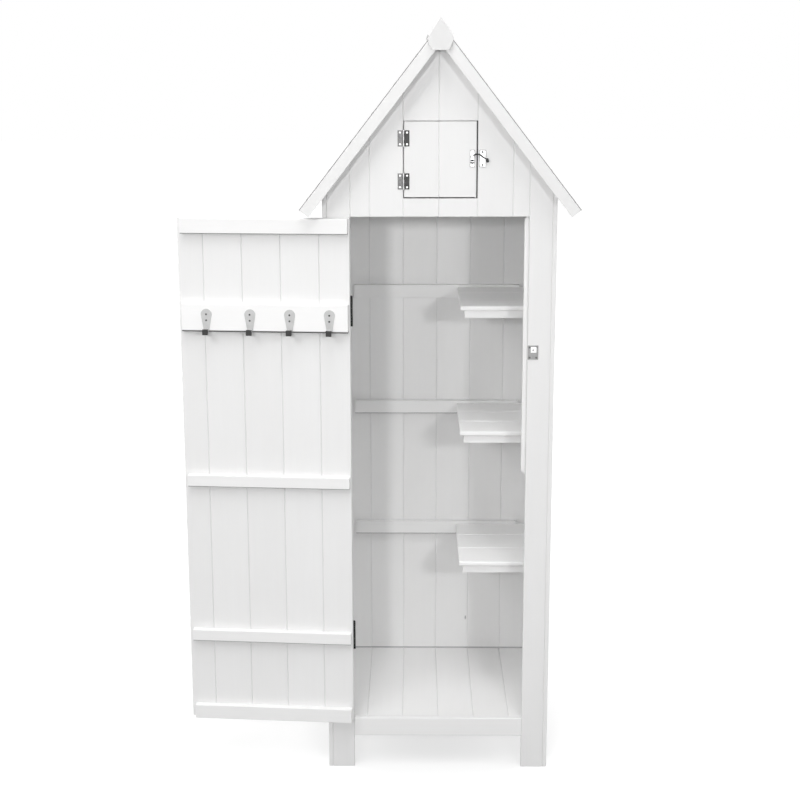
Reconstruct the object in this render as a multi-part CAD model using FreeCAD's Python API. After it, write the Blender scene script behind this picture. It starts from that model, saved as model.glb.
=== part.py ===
import FreeCAD, Part
import math
import os

# Garden storage cabinet with a steep gable roof, in millimetres.
# X runs to the right, Y to the back and Z up. The origin is on the ground, midway between the feet.

# Body
door_opening_width = 406.8
door_opening_height = 1224.5
body_depth = 440.0
floor_top = 127.5
apron_height = 46.4

# Matched boards of the walls, floor, doors, shelves and roof
board_thickness = 10.0
wall_board_pitch = 86.9
floor_board_pitch = 86.4
door_board_pitch = 89.1
shelf_back_board = 89.0
shelf_board_pitch = 103.0
roof_board_pitch = 88.0
v_groove = 1.6
tongue_thickness = 3.0
tongue_length = 3.6
groove_clearance = 0.2
narrowest_board = 20.0

# Corner posts: a face board and a side board that meet in an L
post_board_thickness = 10.0
post_face_board_width = 53.0
post_side_board_depth = 53.0
post_edge_radius = 2.0

# Battens and rails
batten_thickness = 15.0
batten_edge = 1.0
back_batten_lap = 10.0
back_batten_above_shelf = 5.8
back_batten_height = 34.0
apron_thickness = 13.0
floor_back_gap = 2.0
floor_bearer_depth = 20.0
floor_bearer_height = 20.0
lintel_batten_height = 30.0
rafter_height = 28.0
wall_plate_width = 20.0
wall_plate_height = 30.0
ridge_batten_width = 20.0
ridge_batten_height = 34.0
jamb_width = 25.0
jamb_projection = 6.0
stop_strip_projection = 10.0
stop_strip_width = 24.0
stop_strip_thickness = 12.0
stop_strip_length = 605.0
stop_strip_top_gap = 1.0
stop_strip_radius = 9.0

# Roof
roof_pitch_deg = 52.2
roof_rise_over_posts = 82.4
roof_side_overhang = 49.3
roof_front_overhang = 45.0
roof_back_overhang = 45.0
felt_thickness = 1.5
barge_width = 26.7
barge_thickness = 10.0
ridge_cap_thickness = 7.5
ridge_cap_width = 37.0
finial_thickness = 10.0
finial_above_ridge = 12.3
finial_point_height = 45.5
finial_shoulder_half_width = 29.0
finial_foot_height = 24.5
finial_bottom_half_width = 18.0

# Shelves on the right-hand side
lower_shelf_rise = 361.0
middle_shelf_rise = 692.5
upper_shelf_rise = 1000.0
shelf_length = 193.4
shelf_depth = 295.0
shelf_batten_width = 18.0
shelf_batten_height = 19.0
shelf_batten_inset = 9.0
shelf_batten_front_inset = 5.0
shelf_right_batten_inset = 20.0
shelf_cleat_width = 18.0

# Main door, hung on the left-hand post
door_hinge_gap = 3.0
door_latch_gap = 8.0
door_top_gap = 2.5
door_bottom_gap = 1.0
door_first_board = 70.4
door_open_angle = 184.0
door_batten_inset = 10.0
door_batten_hinge_inset = 3.5
door_top_batten_height = 35.0
door_middle_batten_rise = 588.0
door_lower_batten_rise = 201.0
door_cross_batten_height = 27.5
door_bottom_batten_height = 34.0
hook_board_drop = 196.0
hook_board_height = 65.0
hook_board_inset = 8.0

# Coat hooks on the inside of the door, counted from the hinge edge
coat_hook_offsets = [45.6, 137.1, 229.0, 330.2]
coat_hook_drop = 11.5
coat_hook_plate_thickness = 2.0
coat_hook_plate_height = 53.0
coat_hook_head_radius = 12.5
coat_hook_foot_radius = 7.0
coat_hook_screw_pitch = 14.0
coat_hook_curl_radius = 10.0
coat_hook_strap = 3.0
coat_hook_strap_width = 9.0
coat_hook_cap_size = 13.0
coat_hook_cap_depth = 7.0

# Small door in the front gable
gable_centre = 1.35
gable_opening_width = 167.9
gable_left_board = 76.4
gable_right_board = 80.7
gable_door_joint_shift = -3.35
gable_door_sill = 1.0
gable_door_height = 173.5
gable_door_gap = 1.5
gable_door_latch_gap = 3.0
gable_door_bottom_gap = 3.0
gable_door_batten_height = 25.0
gable_door_batten_thickness = 12.0
gable_door_batten_inset = 14.0
gable_door_batten_offset = 28.0

# Butt hinges: knuckles in front of the boards, leaves screwed to the front faces
hinge_leaf_thickness = 1.2
hinge_wood_gap = 0.3
hinge_knuckle_gap = 0.3
hinge_pin_clearance = 0.05
door_hinge_height = 70.0
door_hinge_leaf_width = 24.0
door_hinge_knuckle_radius = 3.2
door_hinge_pin_radius = 1.6
door_hinge_top_drop = 214.2
door_hinge_bottom_rise = 216.3
door_hinge_screws = [-24.0, 0.0, 24.0]
gable_hinge_height = 36.0
gable_hinge_leaf_width = 10.6
gable_hinge_knuckle_radius = 2.3
gable_hinge_pin_radius = 1.1
gable_hinge_top_drop = 39.0
gable_hinge_bottom_rise = 38.5
gable_hinge_screws = [-13.0, 13.0]

# Latches: an arched arm swings on the door and drops over a peg on the frame
latch_plate_thickness = 1.2
latch_float = 1.2
latch_arm_thickness = 2.0
latch_arm_width = 3.2
latch_arm_end_play = 0.3
latch_rivet_radius = 1.5
latch_rivet_clearance = 0.05
latch_rivet_head_radius = 2.7
latch_rivet_head_thickness = 0.8
latch_eye_radius = 3.4
latch_arch_centre = (11.0, -9.0)
latch_arch_radius = 14.2
latch_arch_start_deg = 141.0
latch_arch_end_deg = 39.0
latch_arm_end = (30.4, -5.5)
latch_tip_radius = 3.4
latch_tip_length = 9.6
latch_tip_thickness = 3.6
latch_peg_radius = 2.0
latch_peg_gap = 0.35
latch_peg_angle_deg = 47.0
latch_peg_length = 6.0
gable_latch_scale = 1.0
gable_latch_rise = 89.5
latch_pivot_above_middle = 4.6
gable_latch_plate_width = 11.0
gable_latch_plate_height = 38.0
gable_latch_pivot_inset = 12.5
gable_keeper_width = 15.0
gable_keeper_offset = 10.4
door_latch_scale = 1.55
door_latch_drop = 311.5
door_latch_plate_width = 15.0
door_latch_plate_height = 38.0
door_latch_pivot_inset = 8.5
door_latch_hang_angle = 105.0
door_keeper_width = 24.5
door_keeper_height = 33.0
door_keeper_offset = 12.8

# Wood screws of the ironwork
screw_head_radius = 2.3
screw_head_height = 0.7
screw_shank_radius = 1.2
screw_length = 8.0
screw_hole_clearance = 0.05
latch_screw_inset = 4.5

# Places that follow from the sizes
front = -body_depth / 2.0
back = body_depth / 2.0
half_opening = door_opening_width / 2.0
wall_outer = half_opening + post_face_board_width
half_width = wall_outer + post_board_thickness
lintel_height = floor_top + door_opening_height
ground_clearance = floor_top - apron_height
wall_inner = wall_outer - board_thickness
frame_back = front + post_board_thickness
back_wall_outer = back - post_board_thickness
back_wall_inner = back_wall_outer - board_thickness
back_batten_front = back_wall_inner - batten_thickness
roof_front = front - roof_front_overhang
roof_back = back + roof_back_overhang
slope = math.radians(roof_pitch_deg)
roof_apex_height = lintel_height + roof_rise_over_posts + half_width * math.tan(slope)
roof_half_width = half_width + roof_side_overhang
slope_length = roof_half_width / math.cos(slope)
finial_top = roof_apex_height + finial_above_ridge
roof_underside = felt_thickness + board_thickness
rafter_underside = roof_underside + rafter_height
loft_floor_top = lintel_height + lintel_batten_height + board_thickness
door_left = -half_opening + door_hinge_gap
door_right = half_opening - door_latch_gap
door_bottom = floor_top + door_bottom_gap
door_top = lintel_height - door_top_gap
door_back = front + board_thickness
door_axis_x = -half_opening + door_hinge_gap / 2.0
door_axis_y = front - door_hinge_knuckle_radius - hinge_wood_gap
gable_opening_left = gable_centre - gable_opening_width / 2.0
gable_opening_right = gable_centre + gable_opening_width / 2.0
gable_door_joint = gable_centre + gable_door_joint_shift
gable_door_bottom = loft_floor_top + gable_door_sill
gable_opening_top = gable_door_bottom + gable_door_height
gable_axis_x = gable_opening_left + gable_door_gap / 2.0
gable_axis_y = front - gable_hinge_knuckle_radius - hinge_wood_gap
latch_plate_front = front - latch_plate_thickness
latch_arm_back = latch_plate_front - latch_float
latch_arm_front = latch_arm_back - latch_arm_thickness
gable_latch_pivot_x = gable_opening_right - gable_latch_pivot_inset
door_latch_pivot_x = door_right - door_latch_pivot_inset
gable_keeper_x = gable_opening_right + gable_keeper_offset
door_keeper_x = half_opening + door_keeper_offset
screw_hole_radius = screw_shank_radius + screw_hole_clearance
shelf_tops = {"lower": floor_top + lower_shelf_rise,
              "middle": floor_top + middle_shelf_rise,
              "upper": floor_top + upper_shelf_rise}
shelf_left_edge = wall_inner - shelf_length
shelf_front_y = back_batten_front - shelf_depth
hook_board_bottom = door_top - hook_board_drop - hook_board_height
coat_hook_top = hook_board_bottom + hook_board_height - coat_hook_drop
door_hinge_centres = {"upper": door_top - door_hinge_top_drop,
                      "lower": door_bottom + door_hinge_bottom_rise}
gable_hinge_centres = {"upper": gable_opening_top - gable_hinge_top_drop,
                       "lower": gable_door_bottom + gable_hinge_bottom_rise}
gable_latch_height = gable_door_bottom + gable_latch_rise
door_latch_height = door_top - door_latch_drop
gable_pivot = (gable_latch_pivot_x,
               gable_latch_height + gable_latch_scale * latch_pivot_above_middle)
door_pivot = (door_latch_pivot_x,
              door_latch_height + door_latch_scale * latch_pivot_above_middle)

X_AXIS = FreeCAD.Vector(1, 0, 0)
Y_AXIS = FreeCAD.Vector(0, 1, 0)
Z_AXIS = FreeCAD.Vector(0, 0, 1)


def block(x0, x1, y0, y1, z0, z1):
    """A plain box between two corners."""
    return Part.makeBox(x1 - x0, y1 - y0, z1 - z0, FreeCAD.Vector(x0, y0, z0))


def softened(shape, size, direction):
    """Round the edges of a box that run along one axis."""
    edges = []
    for edge in shape.Edges:
        if abs(edge.tangentAt(edge.FirstParameter).dot(direction)) > 0.999:
            edges.append(edge)
    return shape.makeFillet(size, edges)


def prism_xz(points, y0, y1):
    """A prism along Y from an outline of (x, z) points."""
    corners = [FreeCAD.Vector(x, y0, z) for x, z in points]
    wire = Part.makePolygon(corners + [corners[0]])
    return Part.Face(wire).extrude(Y_AXIS * (y1 - y0))


def prism_xy(points, z0, z1):
    """A prism along Z from an outline of (x, y) points."""
    corners = [FreeCAD.Vector(x, y, z0) for x, y in points]
    wire = Part.makePolygon(corners + [corners[0]])
    return Part.Face(wire).extrude(Z_AXIS * (z1 - z0))


def cylinder_y(x, z, radius, y0, y1):
    return Part.makeCylinder(radius, y1 - y0, FreeCAD.Vector(x, y0, z), Y_AXIS)


def cylinder_z(x, y, radius, z0, z1):
    return Part.makeCylinder(radius, z1 - z0, FreeCAD.Vector(x, y, z0), Z_AXIS)


def turned(shapes, x, y, degrees):
    """Copies of the shapes turned about a vertical axis."""
    result = []
    for shape in shapes:
        copy = shape.copy()
        copy.rotate(FreeCAD.Vector(x, y, 0), Z_AXIS, degrees)
        result.append(copy)
    return result


def mirrored(shapes):
    """Copies of the shapes on the other side of the middle plane."""
    return [shape.mirror(FreeCAD.Vector(0, 0, 0), X_AXIS) for shape in shapes]


def matched_board(width, length, groove_side, tongue_side):
    """One tongue-and-groove board: across X, thick along Y and long along Z."""
    t = board_thickness
    v = v_groove
    tongue_low = (t - tongue_thickness) / 2.0
    tongue_high = (t + tongue_thickness) / 2.0
    groove_low = tongue_low - groove_clearance
    groove_high = tongue_high + groove_clearance
    groove_depth = tongue_length + 2.0 * groove_clearance
    points = [(v, 0), (width - v, 0), (width, v)]
    if tongue_side:
        points += [(width, tongue_low), (width + tongue_length, tongue_low)]
        points += [(width + tongue_length, tongue_high), (width, tongue_high)]
    points += [(width, t - v), (width - v, t), (v, t), (0, t - v)]
    if groove_side:
        points += [(0, groove_high), (groove_depth, groove_high)]
        points += [(groove_depth, groove_low), (0, groove_low)]
    points += [(0, v)]
    return prism_xy(points, 0, length)


def matched_panel(joints, length, origin, across, inward):
    """Boards side by side between the joint lines, placed by the panel's corner and directions."""
    along = across.cross(inward)
    matrix = FreeCAD.Matrix(across.x, inward.x, along.x, origin.x,
                            across.y, inward.y, along.y, origin.y,
                            across.z, inward.z, along.z, origin.z,
                            0, 0, 0, 1)
    boards = []
    for index in range(len(joints) - 1):
        start, end = joints[index], joints[index + 1]
        first = index == 0
        last = index == len(joints) - 2
        board = matched_board(end - start, length, not first, not last)
        board.translate(FreeCAD.Vector(start, 0, 0))
        board.transformShape(matrix, True)
        boards.append(board)
    return boards


def joints_about(low, high, pitch, centre):
    """Joint lines a pitch apart, one on the centre, with no board narrower than the least."""
    lines = []
    step = math.floor((low + narrowest_board - centre) / pitch) + 1
    while centre + step * pitch < high - narrowest_board:
        lines.append(centre + step * pitch)
        step += 1
    return [low] + lines + [high]


def joints_from(low, high, pitch, first):
    """Joint lines a pitch apart, counted from a first board of its own width."""
    lines = [low]
    line = low + first
    while line < high - narrowest_board:
        lines.append(line)
        line += pitch
    return lines + [high]


def roof_point(down, depth):
    """A point of the right-hand roof slope, by its way down the slope and its depth under the felt."""
    x = down * math.cos(slope) - depth * math.sin(slope)
    z = roof_apex_height - down * math.sin(slope) - depth * math.cos(slope)
    return (x, z)


def under_roof(depth, y0, y1, bottom):
    """Everything below both slopes at a depth under the felt."""
    apex = roof_apex_height - depth / math.cos(slope)
    reach = 2.0 * half_width
    eaves = apex - reach * math.tan(slope)
    outline = [(0, apex), (reach, eaves), (reach, bottom - reach)]
    outline += [(-reach, bottom - reach), (-reach, eaves)]
    return prism_xz(outline, y0, y1)


def slope_layer(top, bottom, y0, y1):
    """A layer of the right-hand slope between two depths, cut square at the eaves."""
    ridge = math.tan(slope)
    outline = [roof_point(top * ridge, top), roof_point(slope_length, top)]
    outline += [roof_point(slope_length, bottom), roof_point(bottom * ridge, bottom)]
    return prism_xz(outline, y0, y1)


def cut_with(shapes, tools):
    """Each shape less all the tools that reach it."""
    result = []
    for shape in shapes:
        for tool in tools:
            if shape.BoundBox.intersect(tool.BoundBox):
                shape = shape.cut(tool)
        result.append(shape)
    return result


def save(node, shapes):
    """Write the separate solids of one node."""
    solids = []
    for shape in shapes:
        solids += shape.Solids
    shape = solids[0] if len(solids) == 1 else Part.makeCompound(solids)
    shape.exportStep("parts/" + node + ".step")


def screw(x, z, face, inward):
    """A wood screw along Y with its head on a face; inward is 1 towards the back, -1 to the front."""
    top = FreeCAD.Vector(0, -screw_head_height, 0)
    middle = FreeCAD.Vector(screw_head_radius * 0.6, -screw_head_height * 0.7, 0)
    rim = FreeCAD.Vector(screw_head_radius, 0, 0)
    neck = FreeCAD.Vector(screw_shank_radius, 0, 0)
    point = FreeCAD.Vector(screw_shank_radius, screw_length, 0)
    end = FreeCAD.Vector(0, screw_length, 0)
    dome = Part.Arc(top, middle, rim).toShape()
    sides = Part.makePolygon([rim, neck, point, end, top]).Edges
    solid = Part.Face(Part.Wire([dome] + sides)).revolve(FreeCAD.Vector(0, 0, 0), Y_AXIS, 360)
    if inward < 0:
        solid.rotate(FreeCAD.Vector(0, 0, 0), Z_AXIS, 180)
    solid.translate(FreeCAD.Vector(x, face, z))
    return solid


def screw_hole(x, z, face, inward):
    """The hole that a screw leaves in leaves, plates and boards."""
    spare = 1.0
    start = FreeCAD.Vector(x, face - inward * spare, z)
    return Part.makeCylinder(screw_hole_radius, screw_length + 2.0 * spare, start, Y_AXIS * inward)


# Corner posts

def corner_post(top_cut):
    """Right-hand front post: the face board shows its width, the side board its edge."""
    face = block(half_opening, wall_outer, front, frame_back, 0, roof_apex_height)
    side = block(wall_outer, half_width, front, front + post_side_board_depth, 0, roof_apex_height)
    boards = [softened(face, post_edge_radius, Z_AXIS), softened(side, post_edge_radius, Z_AXIS)]
    return [board.common(top_cut) for board in boards]


def flipped_to_back(shapes):
    return [shape.mirror(FreeCAD.Vector(0, 0, 0), Y_AXIS) for shape in shapes]


# Walls, floor and gable

def back_wall():
    joints = joints_about(-wall_inner, wall_inner, wall_board_pitch, 0)
    origin = FreeCAD.Vector(0, back_wall_inner, ground_clearance)
    boards = matched_panel(joints, roof_apex_height - ground_clearance, origin, X_AXIS, Y_AXIS)
    below = under_roof(roof_underside, back_wall_inner, back_wall_outer, ground_clearance)
    return [board.common(below) for board in boards]


def side_wall_right():
    joints = joints_about(frame_back, back_wall_outer, wall_board_pitch, 0)
    origin = FreeCAD.Vector(wall_outer, 0, ground_clearance)
    boards = matched_panel(joints, roof_apex_height - ground_clearance, origin, Y_AXIS, X_AXIS * -1)
    below = under_roof(roof_underside, front, back, ground_clearance)
    return [board.common(below) for board in boards]


def floor():
    joints = joints_about(-wall_inner, wall_inner, floor_board_pitch, 0)
    start = front + apron_thickness
    origin = FreeCAD.Vector(0, start, floor_top)
    length = back_wall_inner - floor_back_gap - start
    return matched_panel(joints, length, origin, X_AXIS, Z_AXIS * -1)


def loft_floor():
    joints = joints_about(-wall_inner, wall_inner, floor_board_pitch, 0)
    origin = FreeCAD.Vector(0, frame_back, loft_floor_top)
    return matched_panel(joints, back_wall_inner - frame_back, origin, X_AXIS, Z_AXIS * -1)


def gable_joints():
    """Joint lines at the small door's edges and middle, and one board further out on each side."""
    lines = [gable_opening_left - gable_left_board, gable_opening_left, gable_door_joint]
    lines += [gable_opening_right, gable_opening_right + gable_right_board]
    limit = half_opening - narrowest_board
    return [-half_opening] + [line for line in lines if abs(line) < limit] + [half_opening]


def front_gable():
    """Boards between the posts above the main door, cut away for the small door."""
    joints = gable_joints()
    origin = FreeCAD.Vector(0, front, lintel_height)
    boards = matched_panel(joints, roof_apex_height - lintel_height, origin, X_AXIS, Y_AXIS)
    below = under_roof(roof_underside, front, frame_back, ground_clearance)
    result = []
    for board in boards:
        start = board.BoundBox.XMin
        cut_end = gable_opening_right
        if gable_opening_left - 1 < start < gable_opening_right - 1:
            cut_end += tongue_length
        opening = block(gable_opening_left, cut_end, front - 1, frame_back + 1,
                        gable_door_bottom, gable_opening_top)
        result.append(board.common(below).cut(opening))
    return result


def apron():
    board = block(-half_opening, half_opening, front, front + apron_thickness,
                  ground_clearance, floor_top)
    return [softened(board, post_edge_radius, X_AXIS)]


def floor_bearers():
    top = floor_top - board_thickness
    first = front + apron_thickness
    last = back_wall_inner - floor_bearer_depth
    bearers = []
    for start in (first, (first + last) / 2.0, last):
        bearers.append(block(-wall_inner, wall_inner, start, start + floor_bearer_depth,
                             top - floor_bearer_height, top))
    return bearers


def back_battens():
    half = half_opening + back_batten_lap
    battens = []
    for shelf_top in shelf_tops.values():
        top = shelf_top + back_batten_above_shelf
        batten = block(-half, half, back_batten_front, back_wall_inner, top - back_batten_height, top)
        battens.append(softened(batten, batten_edge, X_AXIS))
    loft_top = loft_floor_top - board_thickness
    battens.append(block(-wall_inner, wall_inner, back_batten_front, back_wall_inner,
                         loft_top - lintel_batten_height, loft_top))
    return battens


def stop_strip():
    """Strip behind the right-hand post that the main door closes against."""
    left = half_opening - stop_strip_projection
    top = lintel_height - stop_strip_top_gap
    strip = block(left, left + stop_strip_width, frame_back, frame_back + stop_strip_thickness,
                  top - stop_strip_length, top)
    inner = [edge for edge in strip.Edges if edge.BoundBox.XMax < left + 1 and edge.BoundBox.YLength > 1]
    return [strip.makeFillet(stop_strip_radius, inner)]


def lintel_batten():
    return [block(-wall_inner, wall_inner, frame_back, frame_back + batten_thickness,
                  lintel_height, lintel_height + lintel_batten_height)]


def gable_door_jambs():
    """Uprights behind the gable boards; the right-hand one is the small door's stop."""
    y1 = frame_back + batten_thickness
    left = block(gable_opening_left - jamb_width, gable_opening_left, frame_back, y1,
                 loft_floor_top, roof_apex_height)
    right_start = gable_opening_right - jamb_projection
    right = block(right_start, right_start + jamb_width, frame_back, y1,
                  loft_floor_top, roof_apex_height)
    below = under_roof(rafter_underside, front, back, ground_clearance)
    return [left.common(below), right.common(below)]


# Roof

def roof_boards_right():
    joints = joints_from(0, slope_length, roof_board_pitch, roof_board_pitch)
    down = FreeCAD.Vector(math.cos(slope), 0, -math.sin(slope))
    inward = FreeCAD.Vector(-math.sin(slope), 0, -math.cos(slope))
    apex = FreeCAD.Vector(0, roof_front + barge_thickness, roof_apex_height)
    origin = apex + inward * felt_thickness
    length = roof_back - roof_front - 2.0 * barge_thickness
    boards = matched_panel(joints, length, origin, down, inward)
    right_half = block(0, 2.0 * half_width, roof_front, roof_back, 0, roof_apex_height)
    return [board.common(right_half) for board in boards]


def rafters_right():
    """Battens under the roof boards, on the inside of each gable."""
    layer = slope_layer(roof_underside, rafter_underside, front, back)
    start = ridge_batten_width / 2.0
    rafters = []
    for y0 in (frame_back, back_wall_inner - batten_thickness):
        span = block(start, wall_inner, y0, y0 + batten_thickness, lintel_height, roof_apex_height)
        rafters.append(layer.common(span))
    return rafters


def ridge_batten():
    low = roof_apex_height - roof_underside / math.cos(slope) - ridge_batten_height
    batten = block(-ridge_batten_width / 2.0, ridge_batten_width / 2.0, frame_back, back_wall_inner,
                   low, roof_apex_height)
    return [batten.common(under_roof(roof_underside, frame_back, back_wall_inner, ground_clearance))]


def wall_plate_right():
    """Batten along the top of the side wall, between the rafters."""
    top = roof_apex_height - wall_inner * math.tan(slope) - roof_underside / math.cos(slope)
    y0 = frame_back + batten_thickness
    y1 = back_wall_inner - batten_thickness
    plate = block(wall_inner - wall_plate_width, wall_inner, y0, y1,
                  top - wall_plate_height, roof_apex_height)
    return plate.common(under_roof(roof_underside, y0, y1, ground_clearance))


def barge_right(y0):
    return slope_layer(felt_thickness, barge_width, y0, y0 + barge_thickness)


def felt_right():
    return slope_layer(0, felt_thickness, roof_front, roof_back)


def ridge_cap_right():
    """Strip laid over the felt along the ridge."""
    outline = [roof_point(0, 0), roof_point(ridge_cap_width, 0)]
    outline += [roof_point(ridge_cap_width, -ridge_cap_thickness)]
    outline += [roof_point(-ridge_cap_thickness * math.tan(slope), -ridge_cap_thickness)]
    return prism_xz(outline, roof_front, roof_back)


def finial():
    """Flat gable plate over the joint of the two front barge boards."""
    shoulder = finial_top - finial_point_height
    foot = shoulder - finial_foot_height
    outline = [(0, finial_top), (finial_shoulder_half_width, shoulder)]
    outline += [(finial_bottom_half_width, foot), (-finial_bottom_half_width, foot)]
    outline += [(-finial_shoulder_half_width, shoulder)]
    return [prism_xz(outline, roof_front - finial_thickness, roof_front)]


# Shelves

def shelf_boards(top):
    joints = joints_from(0, shelf_depth, shelf_board_pitch, shelf_back_board)
    origin = FreeCAD.Vector(shelf_left_edge, back_batten_front, top)
    return matched_panel(joints, wall_inner - shelf_left_edge, origin, Y_AXIS * -1, Z_AXIS * -1)


def shelf_battens(top):
    """Two battens across the boards and a rail between them at the front."""
    z1 = top - board_thickness
    z0 = z1 - shelf_batten_height
    y0 = shelf_front_y + shelf_batten_front_inset
    left = shelf_left_edge + shelf_batten_inset
    right = wall_inner - shelf_right_batten_inset - shelf_batten_width
    left_batten = block(left, left + shelf_batten_width, y0, back_batten_front, z0, z1)
    right_batten = block(right, right + shelf_batten_width, y0, back_batten_front, z0, z1)
    rail = block(left + shelf_batten_width, right, y0, y0 + shelf_batten_width, z0, z1)
    return [left_batten, right_batten, rail]


def shelf_cleats():
    """Cleats on the right-hand wall, one under each shelf."""
    cleats = []
    for top in shelf_tops.values():
        z1 = top - board_thickness
        cleats.append(block(wall_inner - shelf_cleat_width, wall_inner, shelf_front_y,
                            back_batten_front, z1 - shelf_batten_height, z1))
    return cleats


# Main door, modelled closed and then swung open

def opened(shapes):
    return turned(shapes, door_axis_x, door_axis_y, -door_open_angle)


def door_boards():
    joints = joints_from(door_left, door_right, door_board_pitch, door_first_board)
    origin = FreeCAD.Vector(0, front, door_bottom)
    return matched_panel(joints, door_top - door_bottom, origin, X_AXIS, Y_AXIS)


def door_batten(bottom, height, inset):
    batten = block(door_left + door_batten_hinge_inset, door_right - inset,
                   door_back, door_back + batten_thickness, bottom, bottom + height)
    return softened(batten, batten_edge, X_AXIS)


def door_battens():
    places = [(door_top - door_top_batten_height, door_top_batten_height)]
    places += [(door_bottom + door_middle_batten_rise, door_cross_batten_height)]
    places += [(door_bottom + door_lower_batten_rise, door_cross_batten_height)]
    places += [(door_bottom, door_bottom_batten_height)]
    return [door_batten(bottom, height, door_batten_inset) for bottom, height in places]


def coat_hook_places():
    """The middle of each hook's rounded head, on the inner face of the hook board."""
    face = door_back + batten_thickness
    head = coat_hook_top - coat_hook_head_radius
    return [(door_left + offset, face, head) for offset in coat_hook_offsets]


def coat_hook(x, face, z):
    """A tapered plate with a strap that curls out at its foot."""
    y1 = face + coat_hook_plate_thickness
    foot_z = coat_hook_top - coat_hook_plate_height + coat_hook_foot_radius
    head = cylinder_y(x, z, coat_hook_head_radius, face, y1)
    foot = cylinder_y(x, foot_z, coat_hook_foot_radius, face, y1)
    lean = math.asin((coat_hook_head_radius - coat_hook_foot_radius) / (z - foot_z))
    head_x = coat_hook_head_radius * math.cos(lean)
    head_z = z - coat_hook_head_radius * math.sin(lean)
    foot_x = coat_hook_foot_radius * math.cos(lean)
    foot_side_z = foot_z - coat_hook_foot_radius * math.sin(lean)
    taper = prism_xz([(x - head_x, head_z), (x + head_x, head_z),
                      (x + foot_x, foot_side_z), (x - foot_x, foot_side_z)], face, y1)
    curl = coat_hook_curl(x, face, foot_z, coat_hook_strap_width)
    return head.fuse([foot, taper, curl]).removeSplitter()


def coat_hook_curl(x, face, z, width):
    """The lower half of a ring that stands out from the plate's foot."""
    y = face + coat_hook_curl_radius
    start = FreeCAD.Vector(x - width / 2.0, y, z)
    ring = Part.makeCylinder(coat_hook_curl_radius, width, start, X_AXIS)
    bore = Part.makeCylinder(coat_hook_curl_radius - coat_hook_strap, width, start, X_AXIS)
    reach = 2.0 * coat_hook_curl_radius
    above = block(x - width, x + width, y - reach, y + reach, z, z + reach)
    return ring.cut(bore).cut(above)


def coat_hook_cap(x, face, z):
    """A rounded cap on the free end of the strap."""
    foot_z = coat_hook_top - coat_hook_plate_height + coat_hook_foot_radius
    half = coat_hook_cap_size / 2.0
    outer = face + 2.0 * coat_hook_curl_radius + coat_hook_cap_depth / 4.0
    cap = block(x - half, x + half, outer - coat_hook_cap_depth, outer,
                foot_z + 1.0 - coat_hook_cap_size, foot_z + 1.0)
    cap = cap.makeFillet(coat_hook_cap_depth / 5.0, cap.Edges)
    return cap.cut(coat_hook_curl(x, face, foot_z, coat_hook_strap_width))


def coat_hook_screw_places():
    places = []
    for x, face, z in coat_hook_places():
        places.append((x, z, face + coat_hook_plate_thickness))
        places.append((x, z - coat_hook_screw_pitch, face + coat_hook_plate_thickness))
    return places


# Small gable door

def gable_door_boards():
    left = gable_opening_left + gable_door_gap
    right = gable_opening_right - gable_door_latch_gap
    bottom = gable_door_bottom + gable_door_bottom_gap
    top = gable_opening_top - gable_door_gap
    origin = FreeCAD.Vector(0, front, bottom)
    return matched_panel([left, gable_door_joint, right], top - bottom, origin, X_AXIS, Y_AXIS)


def gable_door_battens():
    left = gable_opening_left + gable_door_batten_inset
    right = gable_opening_right - gable_door_batten_inset
    y1 = door_back + gable_door_batten_thickness
    battens = []
    for bottom in (gable_door_bottom + gable_door_batten_offset,
                   gable_opening_top - gable_door_batten_offset - gable_door_batten_height):
        battens.append(block(left, right, door_back, y1, bottom, bottom + gable_door_batten_height))
    return battens


# Hinges

def knuckle_spans(centre, height):
    """Five knuckles one above the other, with a small gap between them."""
    pitch = (height + hinge_knuckle_gap) / 5.0
    low = centre - height / 2.0
    return [(low + index * pitch, low + (index + 1) * pitch - hinge_knuckle_gap) for index in range(5)]


def hinge_leaf(axis_x, axis_y, centre, height, leaf_width, radius, pin_radius, side, turns):
    """One leaf on the front face with its knuckles; side is -1 to the left and 1 to the right."""
    spans = knuckle_spans(centre, height)
    own = [span for index, span in enumerate(spans) if index in turns]
    near = axis_x + side * (radius + hinge_knuckle_gap)
    far = near + side * leaf_width
    y0 = front - hinge_leaf_thickness
    leaf = block(min(near, far), max(near, far), y0, front, centre - height / 2.0, centre + height / 2.0)
    bore = cylinder_z(axis_x, axis_y, pin_radius + hinge_pin_clearance,
                      centre - height, centre + height)
    for low, high in own:
        leaf = leaf.fuse(cylinder_z(axis_x, axis_y, radius, low, high))
        neck = block(min(axis_x, near), max(axis_x, near), y0, y0 + hinge_leaf_thickness - hinge_wood_gap,
                     low, high)
        leaf = leaf.fuse(neck)
    return leaf.cut(bore).removeSplitter()


def hinge_pin(axis_x, axis_y, centre, height, pin_radius, radius):
    """The pin, with a flat head on top of the knuckles."""
    head_height = 0.8
    pin = cylinder_z(axis_x, axis_y, pin_radius, centre - height / 2.0, centre + height / 2.0)
    head_low = centre + height / 2.0
    head = cylinder_z(axis_x, axis_y, radius * 0.85, head_low, head_low + head_height)
    return pin.fuse(head).removeSplitter()


def door_hinge_leaves(side, turns):
    return [hinge_leaf(door_axis_x, door_axis_y, centre, door_hinge_height, door_hinge_leaf_width,
                       door_hinge_knuckle_radius, door_hinge_pin_radius, side, turns)
            for centre in door_hinge_centres.values()]


def gable_hinge_leaves(side, turns):
    return [hinge_leaf(gable_axis_x, gable_axis_y, centre, gable_hinge_height, gable_hinge_leaf_width,
                       gable_hinge_knuckle_radius, gable_hinge_pin_radius, side, turns)
            for centre in gable_hinge_centres.values()]


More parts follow.
